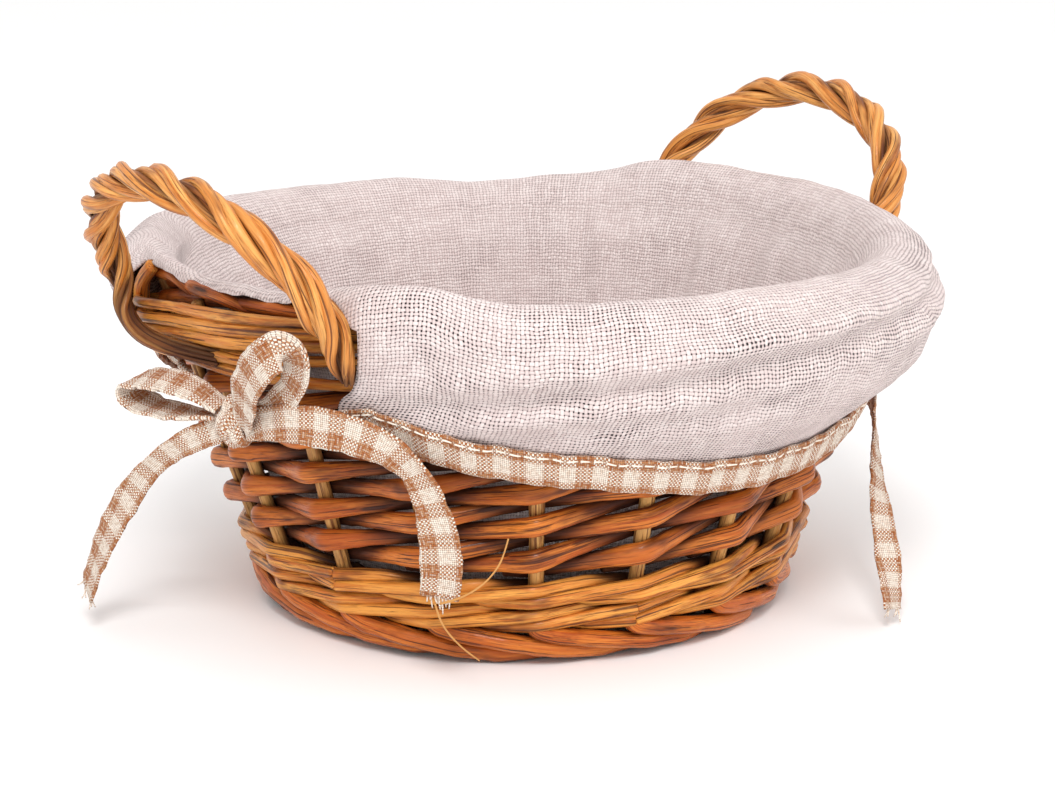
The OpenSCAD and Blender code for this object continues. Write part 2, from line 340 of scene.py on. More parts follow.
def ribbon(mesh, line, width, twist, seed, thick, across):
    """A folded cloth tie: flat, with plumper edges, turned by twist degrees about its line."""
    n = len(line)
    u, v = wall_frames(line)
    t = headings(line)
    turn = np.radians(spread(twist, n))[:, None]
    w = v * np.cos(turn) + u * np.sin(turn)
    up = np.cross(w, t)
    up *= np.sign((up * (u * np.cos(turn) - v * np.sin(turn))).sum(1, keepdims=True))
    half = spread(width, n)[:, None] / 2
    s = lengths(line)
    x = np.linspace(-1, 1, 14)
    plump = thick * (0.72 + 0.5 * bell(1 - np.abs(x), 0, 0.14) + 0.12 * bell(x, 0, 0.12))
    plump = plump * np.sqrt(np.clip(1.06 - np.abs(x) ** 16, 0.05, 1))
    cupped = 0.4 * (x ** 2 - 0.4)
    rumple = 0.28 * wobble(s, seed, 17)[:, None] * x[None] + 0.16 * wobble(s, seed + 5, 7)[:, None]
    edge = half * (1 + 0.04 * wobble(s, seed + 9, 11)[:, None])
    flat = line[:, None] + (x * edge)[..., None] * w[:, None]
    upper = flat + (cupped + rumple + plump)[..., None] * up[:, None]
    lower = flat + (cupped + rumple - plump)[..., None] * up[:, None]
    co = np.concatenate([upper, lower[:, ::-1]], 1)
    uv = cloth_uv(s, x * half + half + across)
    mesh.grid(co, uv=uv, wrap=True, caps=True)


def cloth_uv(s, v):
    """Cloth coordinates of a band with two faces: s along it, and v across each of its rows."""
    both = np.concatenate([v, v[:, ::-1]], 1)
    return np.stack([np.broadcast_to(s[:, None], both.shape), both], -1) * MM


def thread(mesh, line, radius, seed):
    """A loose thread."""
    u, v = free_frames(line, (0.3, 0.5, 0.8))
    a = np.arange(6) / 6 * TAU
    s = np.linspace(0, 1, len(line))
    size = radius * (1 - 0.35 * s) * (1 + 0.15 * wobble(s * 10, seed, 3))
    ring = np.cos(a)[None, :, None] * u[:, None] + np.sin(a)[None, :, None] * v[:, None]
    co = line[:, None] + size[:, None, None] * ring
    uv = np.stack([np.broadcast_to(s[:, None] * 4, (len(line), 6)), np.full((len(line), 6), 3.5)], -1) * MM
    mesh.grid(co, uv=uv, wrap=True, caps=True, flip=True)


# ---- Materials ----

class Shader:
    """A material whose nodes are added one call at a time."""

    def __init__(self, name, rough, specular, coat=0.0, coat_rough=0.3, sheen=0.0):
        self.mat = bpy.data.materials.new(name)
        self.mat.use_nodes = True
        self.tree = self.mat.node_tree
        self.bsdf = self.tree.nodes["Principled BSDF"]
        for label, value in (("Roughness", rough), ("Coat Weight", coat), ("Coat Roughness", coat_rough),
                             ("Sheen Weight", sheen), ("Specular IOR Level", specular)):
            self.bsdf.inputs[label].default_value = value

    def add(self, kind, ins=(), out=0, **props):
        n = self.tree.nodes.new("ShaderNode" + kind)
        for key, value in props.items():
            setattr(n, key, value)
        for key, value in dict(ins).items():
            if isinstance(value, bpy.types.NodeSocket):
                self.tree.links.new(value, n.inputs[key])
            else:
                n.inputs[key].default_value = value
        return n.outputs[out]

    def math(self, op, a, b=0.0):
        return self.add("Math", {0: a, 1: b}, operation=op)

    def times(self, a, b):
        return self.math("MULTIPLY", a, b)

    def plus(self, a, b):
        return self.math("ADD", a, b)

    def attribute(self, name):
        return self.add("Attribute", out=1, attribute_name=name)

    def split(self, vector):
        parts = self.tree.nodes.new("ShaderNodeSeparateXYZ")
        self.tree.links.new(vector, parts.inputs[0])
        return parts.outputs

    def scaled(self, vector, x, y, z, move=(0, 0, 0)):
        return self.add("Mapping", {"Vector": vector, "Scale": (x, y, z), "Location": move})

    def noise(self, vector, detail, rough=0.5):
        return self.add("TexNoise", {"Vector": vector, "Scale": 1.0, "Detail": detail, "Roughness": rough})

    def range(self, value, low, high, to_low=0.0, to_high=1.0):
        ends = {0: value, 1: low, 2: high, 3: to_low, 4: to_high}
        return self.add("MapRange", ends, interpolation_type="SMOOTHSTEP")

    def mix(self, fac, a, b, blend="MIX"):
        ends = {0: fac, 6: colour(a), 7: colour(b)}
        return self.add("Mix", ends, out=2, data_type="RGBA", blend_type=blend)

    def done(self, base, height, distance, strength=1.0, rough=None):
        self.tree.links.new(base, self.bsdf.inputs["Base Color"])
        if rough is not None:
            self.tree.links.new(rough, self.bsdf.inputs["Roughness"])
        bump = self.add("Bump", {"Height": height, "Distance": distance, "Strength": strength})
        self.tree.links.new(bump, self.bsdf.inputs["Normal"])
        return self.mat


def colour(value):
    """sRGB numbers from 0 to 255 as a linear colour; a socket stays as it is."""
    if isinstance(value, bpy.types.NodeSocket):
        return value
    lin = [((c / 255 + 0.055) / 1.055) ** 2.4 if c > 10 else c / 255 / 12.92 for c in value]
    return (*lin, 1.0)


def willow(name, light, mid, dark, stain_and_shade, rough=0.36, coat=0.14):
    """Varnished willow. The grain runs along the rod; a second attribute holds the rod's hue and how deep it
    lies, and where it lies deep the colour is painted darker and redder as shade.
    """
    m = Shader(name, rough, 0.25, coat, coat_rough=0.15)
    grain = m.attribute("grain")
    hue, deep = m.split(m.attribute("tone"))[:2]
    streak = m.noise(m.scaled(grain, 45, 800, 800), 4, 0.65)
    fine = m.noise(m.scaled(grain, 120, 2600, 2600), 3, 0.65)
    blotch = m.noise(m.scaled(grain, 40, 150, 150, (3, 1, 7)), 3, 0.6)
    patch = m.noise(m.scaled(grain, 14, 70, 70, (9, 4, 2)), 2, 0.5)
    base = m.mix(m.range(streak, 0.36, 0.66), mid, light)
    base = m.mix(m.times(m.range(fine, 0.5, 0.68), 0.75), base, dark)
    base = m.mix(m.times(m.range(patch, 0.42, 0.62), 0.6), base, m.mix(hue, mid, light))
    base = m.mix(m.times(m.range(blotch, 0.52, 0.72), 0.8), base, stain_and_shade)
    crack = m.noise(m.scaled(grain, 22, 1500, 1500, (5, 5, 5)), 2, 0.5)
    crack = m.times(m.range(crack, 0.585, 0.64), 0.8)
    base = m.mix(crack, base, stain_and_shade)
    dots = m.tree.nodes.new("ShaderNodeTexVoronoi")
    m.tree.links.new(m.scaled(grain, 30, 210, 210), dots.inputs["Vector"])
    dots.inputs["Scale"].default_value = 1.0
    pick = m.tree.nodes.new("ShaderNodeSeparateColor")
    m.tree.links.new(dots.outputs["Color"], pick.inputs[0])
    chosen = m.range(pick.outputs[0], 0.6, 0.62)
    halo = m.times(m.range(dots.outputs["Distance"], 0.34, 0.12), chosen)
    eye = m.times(m.range(dots.outputs["Distance"], 0.15, 0.09), chosen)
    base = m.mix(m.times(halo, 0.5), base, dark)
    base = m.mix(m.times(eye, 0.85), base, (40, 16, 8))
    # painted shade: where the rod lies deep (in crevices, behind other rods) the colour goes to the stain
    # colour and then to near black, and the gloss drops
    base = m.mix(m.times(m.range(deep, 0.05, 0.6), 0.55), base, stain_and_shade)
    base = m.mix(m.times(m.range(deep, 0.35, 1.0), 0.85), base, (44, 14, 3))
    height = m.plus(m.times(streak, 0.7), m.times(fine, 0.35))
    height = m.math("SUBTRACT", height, m.times(m.plus(eye, crack), 0.5))
    gloss = m.plus(m.times(fine, 0.3), rough - 0.12)
    gloss = m.plus(gloss, m.times(deep, 0.45))
    return m.done(base, height, 0.0006, 0.9, gloss)


def woven(m, pitch, open_size, loose):
    """Yarn pattern of a plain weave: which yarn lies on top, the holes between them, and the height."""
    uv = m.add("UVMap", uv_map="cloth")
    drift = m.add("TexNoise", {"Vector": uv, "Scale": 190.0, "Detail": 2.0}, out=1)
    centred = m.add("VectorMath", {0: drift, 1: (0.5, 0.5, 0.5)}, operation="SUBTRACT")
    shift = m.add("VectorMath", {0: centred, "Scale": loose}, operation="SCALE")
    moved = m.split(m.add("VectorMath", {0: uv, 1: shift}, operation="ADD"))
    x, y = (m.math("DIVIDE", moved[i], pitch) for i in (0, 1))
    ix, iy = m.math("FLOOR", x), m.math("FLOOR", y)
    a, b = (m.math("SINE", m.times(m.math("FRACT", f), math.pi)) for f in (x, y))
    vary_x = m.noise(m.add("CombineXYZ", {0: m.times(ix, 1.7), 1: m.times(y, 0.12), 2: 3.0}), 1)
    vary_y = m.noise(m.add("CombineXYZ", {0: m.times(x, 0.12), 1: m.times(iy, 1.7), 2: 8.0}), 1)
    a = m.times(a, m.range(vary_x, 0.25, 0.75, 0.75, 1.25))
    b = m.times(b, m.range(vary_y, 0.25, 0.75, 0.75, 1.25))
    open_share = m.noise(m.scaled(uv, 45, 45, 45), 2)
    limit = m.range(open_share, 0.3, 0.7, open_size * 0.72, open_size * 1.2)
    hole = m.range(m.math("SUBTRACT", m.math("MAXIMUM", a, b), limit), -0.02, -0.2)
    over = m.math("MODULO", m.math("ABSOLUTE", m.plus(ix, iy)), 2.0)
    top = m.add("Mix", {0: over, 2: a, 3: b}, data_type="FLOAT")
    height = m.plus(m.times(top, 0.7), m.times(m.math("MINIMUM", a, b), 0.3))
    height = m.math("SUBTRACT", height, hole)
    return dict(uv=uv, place=moved[:2], count=(ix, iy), vary=(vary_x, vary_y), over=over, hole=hole,
                height=height)


def cotton(name, thread_colour, shade, gap_shade):
    """Open plain weave with painted shade: darker where a yarn lies low, and its holes painted dark as the
    shade behind them, fully only where the cloth hangs over a hollow.
    """
    m = Shader(name, 0.9, 0.12, sheen=0.1)
    w = woven(m, 1.05 * MM, 0.6, 0.0013)
    shade_behind = m.split(m.attribute("tone"))[0]
    # painted shade between the yarns: the shade colour where a yarn lies low
    base = m.mix(m.range(w["height"], 0.25, 0.8), shade, thread_colour)
    slubs = [m.mix(m.range(vary, 0.35, 0.7), (220, 206, 204), (255, 252, 250)) for vary in w["vary"]]
    base = m.mix(0.5, base, m.mix(w["over"], *slubs), "MULTIPLY")
    cloud = m.noise(m.scaled(w["uv"], 22, 22, 22), 3)
    base = m.mix(m.times(m.range(cloud, 0.42, 0.7), 0.25), base, (206, 190, 188))
    # painted shade in the holes, strongest where the cloth hangs over a hollow
    base = m.mix(m.times(w["hole"], m.range(shade_behind, 0, 1, 0.3, 1.0)), base, gap_shade)
    return m.done(base, w["height"], 0.0004, 0.7)


def gingham(name, cream, brown, gap_shade):
    """Small check: bands of brown yarns cross bands of cream ones, and every third brown yarn is paler."""
    m = Shader(name, 0.9, 0.12, sheen=0.1)
    w = woven(m, 0.55 * MM, 0.4, 0.0004)
    wide = 4.35 * MM
    coloured = m.noise(m.scaled(w["uv"], 900, 900, 900), 2)
    brownish = m.mix(m.range(coloured, 0.35, 0.65), brown, (190, 138, 98))
    whitish = m.mix(m.range(coloured, 0.4, 0.7), cream, (222, 200, 180))
    yarns = []
    for place, count, start in zip(w["place"], w["count"], (0.0, 2.3 * MM)):
        turn = m.math("FRACT", m.math("DIVIDE", m.math("SUBTRACT", place, start), 2 * wide))
        third = m.math("LESS_THAN", m.math("MODULO", m.math("ABSOLUTE", count), 3.0), 0.5)
        band = m.times(m.range(turn, 0.48, 0.52), m.math("SUBTRACT", 1.0, m.times(third, 0.35)))
        yarns.append(m.mix(band, whitish, brownish))
    base = m.mix(w["over"], *yarns)
    # painted shade: darker where the yarns lie low, and in the holes
    base = m.mix(m.range(w["height"], 0.55, 0.0), base, gap_shade)
    base = m.mix(m.times(w["hole"], 0.6), base, gap_shade)
    return m.done(base, w["height"], 0.0003, 0.7)


amber = willow("willow_amber", (216, 126, 46), (172, 78, 18), (84, 30, 7), (60, 18, 4))
golden = willow("willow_golden", (230, 160, 72), (192, 104, 30), (98, 42, 10), (72, 26, 6))
bright = willow("willow_handle", (232, 170, 94), (200, 118, 44), (112, 50, 14), (84, 32, 8), 0.34, 0.16)
pale = willow("willow_pale", (218, 168, 100), (188, 128, 66), (130, 76, 32), (104, 52, 20), 0.45, 0.1)
calico = cotton("cotton_weave", (228, 216, 214), (206, 192, 190), (44, 36, 38))
check = gingham("gingham_weave", (246, 234, 220), (166, 96, 50), (100, 64, 46))


def plain(name, scale, dark, light, rough, sheen=0.0):
    """Nearly one colour, with fine specks."""
    m = Shader(name, rough, 0.2, sheen=sheen)
    specks = m.noise(m.scaled(m.add("TexCoord", out=3), scale, scale, scale), 2)
    return m.done(m.mix(specks, dark, light), specks, 0.0001)


string = plain("sewing_thread", 900, (236, 224, 206), (252, 246, 236), 0.8, sheen=0.2)


# ---- Base and stakes ----

base = Mesh()  # three sticks laid across three, and fanned out
low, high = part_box("base_weave")
base_mid, base_out = (low.z + high.z) / 2 / MM, high.x / MM
spoke_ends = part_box("base_sticks")[1].x / MM
for side in (-1, 1):
    for i in (-1, 0, 1):
        a, near = math.radians(i * 30), i * 4.2
        end_x, end_y = spoke_ends * math.cos(a), spoke_ends * math.sin(a)
        pts = [(-end_x, -end_y, 0), (-20, -near, 0), (-9, -near, side * 1.9),
               (9, near, side * 1.9), (20, near, 0), (end_x, end_y, 0)]
        pts = [((-y, x) if side > 0 else (x, y)) + (z + base_mid,) for x, y, z in pts]
        line = follow(pts, 1.5, 2)
        rod(base, line, 1.8, 1.8, 900 + 10 * side + i, sides=10, frames=free_frames(line, (0, 0, 1)))
base.build("base_sticks_willow", pale, ["base_sticks"])

rounds = Mesh()
a = np.arange(0, 361, 2.5)
for k in range(14):
    r = base_out - 1.5 - 3.4 * k
    level = base_mid + (1 if k % 2 == 0 else -1) * 3.3 * np.cos(np.radians(a) * 6)
    line = polar(a, r + 0.2 * wobble(a, k, 90), level)
    rod(rounds, line, 1.5, 1.5, 700 + k, hue=0.4 + 0.2 * (k % 3), sides=8)
rounds.build("base_weave_willow", pale, ["base_weave"])

stakes = Mesh()
rng = np.random.default_rng(11)
for k in range(STAKES):
    a = FIRST + k * STEP + rng.uniform(-0.5, 0.5)
    lean = rng.uniform(-0.6, 0.6)
    z = np.array([12.5, 40, 70, 97.5])
    line = follow(polar(a + lean * (z - 50) / 50, stake_r(z), z), 1.5, 6)
    rod(stakes, line, 2.0, 2.15, 300 + k, hue=rng.uniform(0.2, 1), taper=(1.03, 0.93), face=STAKE_FACE)
stakes.build("stakes_willow", pale, ["stakes"])


# ---- Walls ----

def side_rod(number):
    """Climbs one level at each stake: behind the first, in front of the next."""
    rng = np.random.default_rng(40 + number)
    mesh = Mesh()
    start = FIRST + (number - 1) * STEP
    half = 2.53  # half a rod's height
    levels = 10
    rise = (side_high - side_low - 2 * half) / levels
    points = []
    for level in range(levels + 1):
        z = side_low + half + level * rise + rng.normal(0, 0.38)
        front = level % 2
        out = stake_r(z) + (SWING + rng.uniform(0, 0.5) if front else -SWING)
        points.append([*polar(start + level * STEP, out, z), 1.0 if front else -1.0, level])
    a0 = polar(start - 6, stake_r(side_low) - 3.2, side_low + half)
    points.insert(0, [*a0, -1, -0.3])
    line = follow(points, 1.0, 1.4)
    front, level = line[:, 3], line[:, 4]
    line = line[:, :3]
    plump = ease(front)
    thin = np.interp(level, [0, levels], [1.05, 0.94])
    tall = thin * (2.4 + 0.6 * plump)
    # random darker stretches of a rod: tone, not shade, carried in the same channel as the painted shade
    shade_and_tone = 0.12 * np.clip(wobble(level * 10, number, 22), 0, 1)
    rod(mesh, line, thin * (2.05 + 0.1 * plump), tall, 50 + number, hue=rng.uniform(0, 0.9), deep=shade_and_tone,
        face=WALL_FACE)
    name = "side_rod_%02d" % number
    mesh.build(name + "_willow", amber, [name])


for number in range(1, STAKES + 1):
    side_rod(number)


def wale_line(low, rod_number, first, last, seed):
    """One rod of a three-rod wale between two angles: in front of two stakes, behind the third."""
    rng = np.random.default_rng(seed)
    middle = low + 3.9
    # Each shape point: its share of a repeat, how far out it lies, and how far up
    shape = ((0, -4.0, 0.6), (1 / 6, 0.4, -2.7), (1 / 3, 4.5, -1.7), (2 / 3, 4.1, 1.6), (5 / 6, 0.6, 2.9))
    points = []
    repeat = 3 * STEP
    begin = FIRST + rod_number * STEP
    for lap in range(math.floor((first - begin) / repeat) - 1, math.ceil((last - begin) / repeat) + 1):
        jolt = rng.normal(0, 0.25)
        for share, out, up in shape:
            a = begin + (lap + share) * repeat
            if first - 1e-6 <= a <= last + 1e-6:
                z = middle + up + jolt
                points.append(polar(a, stake_r(z) + out, z))
    return follow(points, 1.2, 1.5)


def wale(name, low, arcs, seed, extra=None):
    mesh = Mesh()
    for k in range(3):
        for i, (first, last) in enumerate(arcs):
            line = wale_line(low, k, first, last, seed + 10 * k + i)
            hue = np.random.default_rng(seed + k).uniform(0.2, 1)
            rod(mesh, line, 1.75, 1.85, seed + 3 * k + i, hue=hue, sides=10, face=WALL_FACE)
    if extra:
        extra(mesh)
    mesh.build(name + "_willow", golden, [name])


def lap_arcs(parts, shift):
    """Arcs of rods that start and end behind stakes all round the wall."""
    step = 360 / parts
    return [(shift + i * step - 1, shift + (i + 1) * step + 1) for i in range(parts)]


wale("lower_wale_1", wale_z[0], lap_arcs(3, 10), 410)
wale("lower_wale_2", wale_z[1], lap_arcs(3, 70), 440)


def round_rod(mesh, pts, step, soft, seed, hue):
    """A rod of the wall through points (x, y, z, half size)."""
    line = follow(pts, step, soft)
    rod(mesh, line[:, :3], line[:, 3], line[:, 3], seed, hue=hue, face=WALL_FACE)


def corner_stake(mesh, seed):
    """A stake's top that leans in the corner behind the left handle's rear leg."""
    pts = [[*polar(145, 108, 80), 2.4], [*polar(149, 110.5, 90), 2.4],
           [*polar(152, 110.5, 98), 2.2], [*polar(155, 108, 103), 2.0]]
    round_rod(mesh, pts, 1.0, 3, seed + 47, 0.3)


def split_rod(mesh, seed):
    """A short cut rod above the lowest one, split in three at its end."""
    for k, (fork, thin) in enumerate(((0.9, 1.1), (-0.7, 0.9), (0.1, 0.8))):
        pts = [[*polar(166, stake_r(84) + 1, 83), 1.7],
               [*polar(173, stake_r(84) + 4.4, 84.2), 1.7],
               [*polar(182, stake_r(85) + 5, 85.2), 1.5 - 0.2 * k],
               [*polar(188.5 + k, stake_r(86) + 5.4 + 0.4 * k, 85.6 + fork), thin]]
        round_rod(mesh, pts, 1.0, 1.5, seed + 31 + k, 0.8)


def window_rods(levels, seed):
    """Rods that run side by side across the two openings of the liner, from foot to foot of a handle.
    Each has its first and last height, how late it rises, its half size, how far out it lies, and
    what else is drawn with it on the left."""
    turns = np.arange(-33, 31, 3.0)
    share = (turns - turns[0]) / (turns[-1] - turns[0])
    push = 7 * bell(turns, -25, 7)  # the rods are pushed out beside the rear leg

    def draw(mesh):
        rng = np.random.default_rng(seed)
        for middle in (180, 0):
            for low, high, late, half, out, extra in levels:
                height = low + (high - low) * share ** late
                size = half * (0.72 + 0.28 * np.sin(math.pi * share))
                pts = [[*polar(middle - 44, stake_r(low) - 2.4, low - 2), size[0]]]
                pts += [[*polar(middle + turn, stake_r(h) + out + far, h), wide]
                        for turn, far, h, wide in zip(turns, push, height, size)]
                pts += [[*polar(middle + 38, stake_r(high - 5) - 2.2, high - 5), size[-1]]]
                line = follow(pts, 1.2, 4)
                half_size = line[:, 3]
                rod(mesh, line[:, :3], half_size * 0.95, half_size, seed + int(low), hue=rng.uniform(0.5, 1),
                    face=WALL_FACE)
                if extra and middle == 180:
                    extra(mesh, seed)
    return draw


sides_only = [(26, 148), (208, 332)]
wale("upper_wale_1", wale_z[2], sides_only, 500, window_rods([
    (80.5, 84, 2.5, 1.8, 4.2, split_rod),
    (82, 91.5, 1.5, 1.7, 3.2, None),
    (84, 96, 1.0, 2.3, 4.4, None)], 520))
wale("upper_wale_2", wale_z[3], sides_only, 540, window_rods([
    (87, 99, 0.85, 2.0, 4.6, corner_stake),
    (90.5, 101, 0.65, 1.7, 4.0, None)], 560))


def tuck_under(a, z, out):
    """Moves a rim border's point down and outwards where the flaps' cloth lies over it."""
    for middle, fall, wide in ((62, 1.6, 40), (302, 1.0, 30)):
        z = z - fall * math.exp(-(signed(a - middle) / wide) ** 2)
    below = 1 - ease((36 - abs(a % 360 - 182)) / 12)  # nothing changes in the left opening
    return z - 2.0 * below, out + 2.6 * below


def border(name, route, radius, seed, shade_and_tone, soft=1.8, face=WALL_FACE, low_stop=None, under=False):
    """Rolled border: a short rod from each stake, each lying over the start of the next.
    The route has turns, distances out from the stakes, and heights; the list after the seed is the painted
    shade at each point, darkest where the rod goes under the others."""
    mesh = Mesh()
    rng = np.random.default_rng(seed)
    for k in range(STAKES):
        pts = []
        lift = rng.normal(0, 0.35)
        for i, (turn, out, z) in enumerate(route):
            ends = 0 if i in (0, len(route) - 1) else 1
            a = FIRST + k * STEP + turn
            if under:
                z, out = tuck_under(a, z, out)
            pts.append([*polar(a, stake_r(z) + out + ends * rng.normal(0, 0.2), z + ends * lift), i])
        line = follow(pts, 1.0, soft)
        where, line = line[:, 3], line[:, :3]
        size = radius * rng.uniform(0.93, 1.04)
        if low_stop is not None:
            line[:, 2] = np.maximum(line[:, 2], low_stop + size * 1.06)
        shade = np.interp(where, range(len(route)), shade_and_tone)
        rod(mesh, line, size, size, seed + k, hue=rng.uniform(0, 1), deep=shade, taper=(1.04, 0.9), face=face)
    mesh.build(name + "_willow", amber, [name])


# the list after each seed is painted shade: darkest at the ends, where a rod goes in under the others
border("foot_border", [(-3, -3, 17), (-1, 1.5, 14), (0.5, 3.4, 10.8), (5, 3.9, 9), (14, 4, 7), (24, 3.6, 4.6),
                       (34, 1.8, 3.0), (44, -1.5, 3.0), (52, -5, 4)],
       2.55, 600, [0.6, 0.2, 0, 0, 0, 0, 0.1, 0.5, 0.8], soft=1.0, low_stop=0.15)
border("rim_border", [(0, 0, 93.4), (10, -2, 96), (20, -3.8, 97.8), (30, -3.2, 100.2), (40, -0.6, 101.6),
                      (48, -1.4, 101), (55, -3.4, 97.6)],
       2.1, 640, [0.3, 0.2, 0.2, 0.1, 0, 0, 0.3], face=RIM_FACE, under=True)


# ---- Handles ----

FOOT_TURN, FOOT_OUT, LEG = 23.5, 117.04, 0.12  # angle and distance of a handle's feet, and a leg's share
REAR_FOOT = ((0.88, -23.5, 117, 102), (0.915, -23.2, 117.5, 94.5), (0.94, -22.7, 117, 88.5),
             (0.96, -19, 115.8, 84.8), (0.98, -12, 112.2, 83.8), (1.0, -3.5, 104, 84))


def handle_line(t):
    """Middle line of the right handle, from its front foot (t = 0) over the top to the other."""
    leg, half, rise = LEG, FOOT_OUT, 33.5
    reach, out = half * math.sin(math.radians(FOOT_TURN)), half * math.cos(math.radians(FOOT_TURN))
    down = np.maximum(0, np.maximum(leg - t, t - 1 + leg)) / leg
    turn = np.pi * np.clip((t - leg) / (1 - 2 * leg), 0, 1)
    z = 102 + rise * np.sin(turn) - down * 15.5
    return np.stack([out + 20 * np.sin(turn) - down * 6.4, reach * np.cos(turn), z], 1)


def handle(side):
    """Three strands of three thin rods each, twisted round the handle's middle line."""
    facing = math.pi if side == "left" else 0.0
    c, s = math.cos(facing), math.sin(facing)
    turned = np.array([[c, -s, 0], [s, c, 0], [0, 0, 1]])
    t = np.linspace(0, 1, 181)
    centre = handle_line(t)
    end_t = np.minimum(t, 1 - t)
    tight = 1 - 0.55 * ease((LEG - end_t) / LEG)
    if side == "left":  # the rear foot is thin, and bends under the rods towards the middle of the opening
        share, *bend = np.array(REAR_FOOT).T
        bend = [np.interp(t, share, q) for q in bend]
        centre = np.where((t > share[0])[:, None], polar(*bend), centre)
        tight = np.where(t > 0.5, 1 - 0.6 * ease((t - 0.84) / 0.07), tight)
    centre = blur(centre, 3.5)
    heading = headings(centre)
    across = np.array([-math.sin(math.radians(20)), 0, math.cos(math.radians(20))])
    u = unit(np.cross(heading, across))
    v = np.cross(heading, u)
    seed = 800 if side == "left" else 840
    for number in range(3):
        mesh = Mesh()
        a = TAU * (3.5 * t + number / 3) + 0.18 * wobble(t * 100, seed + number, 40)
        wide = 2.75 * tight * (1 + 0.05 * wobble(t * 100, seed + number + 5, 30))
        strand = centre + wide[:, None] * (u * np.cos(a)[:, None] + v * np.sin(a)[:, None])
        rng = np.random.default_rng(seed + 10 * number)
        ahead = headings(strand)
        outward = unit(strand - centre)
        outward = unit(outward - (outward * ahead).sum(1, keepdims=True) * ahead)
        beside = np.cross(ahead, outward)
        for i in range(3):
            b = TAU * i / 3 + 0.5 + 0.55 * wobble(t * 100, seed + number * 7 + i, 70) + number
            size = (1.72, 1.5, 1.6)[i] * rng.uniform(0.94, 1.06)
            off = 1.2 * (0.4 + 0.6 * tight)
            line = strand + off[:, None] * (outward * np.cos(b)[:, None] + beside * np.sin(b)[:, None])
            line = line @ turned.T
            low_end = ease((0.05 - end_t) / 0.05)
            slim = size * (0.5 + 0.5 * tight) * (1 - 0.5 * ease((0.035 - end_t) / 0.035))
            # painted shade: darker at the strand's end, where it goes into the wall, and towards the rope's
            # core between the canes
            rod(mesh, line, slim, slim, seed + number * 10 + i, hue=rng.uniform(0.1, 1),
                deep=0.4 * low_end, sides=10, frames=free_frames(line, (0.1, 0.2, 1)), rough=0.8,
                core=centre @ turned.T)
        name = "%s_handle_strand_%d" % (side, number + 1)
        mesh.build(name + "_willow", bright, [name])


handle("left")
handle("right")


# ---- Liner ----

EDGE = 63  # half the angle that a flap spans
HEM_LOW, HEM_RISE, TAPE_W = 50, 27, 10
FOLD_Z = WALL_H + 5
IN_R, OUT_R = liner_r(WALL_H + 1), wall_r(WALL_H)


def hem_z(a, facing):
    """Height of a hem; the front one is pulled down towards the left knot."""
    pull = 7.6 * ease((-a - 24) / 40) if facing == 270 else 0
    return HEM_LOW + HEM_RISE * (a / EDGE) ** 2 - pull


# The line where the liner turns over the rim: angle about Z, distance out and height
CREST = ((2, 108.5, 109.5), (23, 109.5, 110.5), (36, 109.5, 104.5), (57, 109.5, 101.5), (66, 109.5, 104),
         (101, 109.5, 105.5), (128, 109.5, 108), (150, 109.5, 106), (158, 106, 105), (165, 102.5, 104),
         (172, 101.5, 104), (191, 101.5, 104.5), (206, 108.5, 110.5), (217, 110, 111.5), (224, 109.5, 107.5),
         (230, 109.5, 106.5), (256, 109.5, 107), (278, 109.5, 106), (296, 109.5, 104.5), (332, 109, 108))


def crest(a):
    """Distance out and height of the fold over the rim, smoothed over a few degrees."""
    turn, out, high = np.array(CREST).T
    total = 0
    for shift, share in ((-4, 0.1), (-2, 0.2), (0, 0.4), (2, 0.2), (4, 0.1)):
        total = total + share * np.stack([np.interp(a + shift, turn, q, period=360) for q in (out, high)])
    return total[0] + 0.3 * ring_wave(a, 21, 9), total[1] + 0.35 * ring_wave(a, 23, 13)


def rim_knots(a):
    """Points over the rim from the inner wall to the crest."""
    crest_r, crest_z = crest(a)
    flap = np.clip((crest_r - 101.5) / 7.5, 0, 1)
    in_r = 99.2 - 0.6 * flap
    in_z = 101.0 - 4.4 * flap + 0.2 * (crest_z - 104.5)
    rise = 0.76 - 0.12 * flap
    between = (in_r + 0.42 * (crest_r - in_r), in_z + rise * (crest_z - in_z))
    return [(in_r, in_z), between, (crest_r, crest_z)]


def slide(a, t):
    """Shift in degrees of the rear flap's left end, whose upper part lies behind the handle's foot."""
    near = np.where(a < 153, ease((a - 121) / 32), ease((173 - a) / 20))
    return -11 * near * ease(t / 0.1) * (1 - ease((t - 0.3) / 0.45))


LINER_LOW = 20.6
# Creases inside the liner: angle, lean, depth and width
CREASES = ((59, 5, 1.9, 2.2), (32, 4, 1.5, 1.8), (6, -4, 2.0, 2.0), (348, -6, 1.6, 2.4),
           (88, 6, 1.3, 2.2), (112, -4, 1.4, 2.4), (318, 5, 1.5, 2.4), (250, 4, 1.4, 2.6))


def inner_wall(a, s):
    """Liner inside the basket: s runs from 0 at the bottom to 1 at the rim."""
    top_r, top_z = rim_knots(a)[0]
    z = LINER_LOW + (top_z - LINER_LOW) * s
    near_rim = ease((s - 0.86) / 0.14)
    low_r = liner_r(LINER_LOW) - 1.4
    r = low_r + (top_r - low_r - 2.0) * s + 2.0 * near_rim
    crease = 0.8 * np.clip(ring_wave(a + 5 * s, 31, 7), -1, 1)
    crease = crease + 0.6 * np.clip(ring_wave(a - 9 * s, 33, 17), -1, 1)
    for middle, lean, deep, wide in CREASES:
        off = signed(a - middle + lean * (1 - s))
        crease = crease + deep * (bell(off, 0, wide) - 0.7 * bell(off, 2.2 * wide, 1.3 * wide))
    sag = 0.7 * wobble(s * 100 + 25 * np.sin(np.radians(a)), 35, 60)
    fade = ease(s / 0.25) * (1 - near_rim)
    return polar(a, r - fade * (1.2 + 0.85 * crease + 0.5 * sag), z)


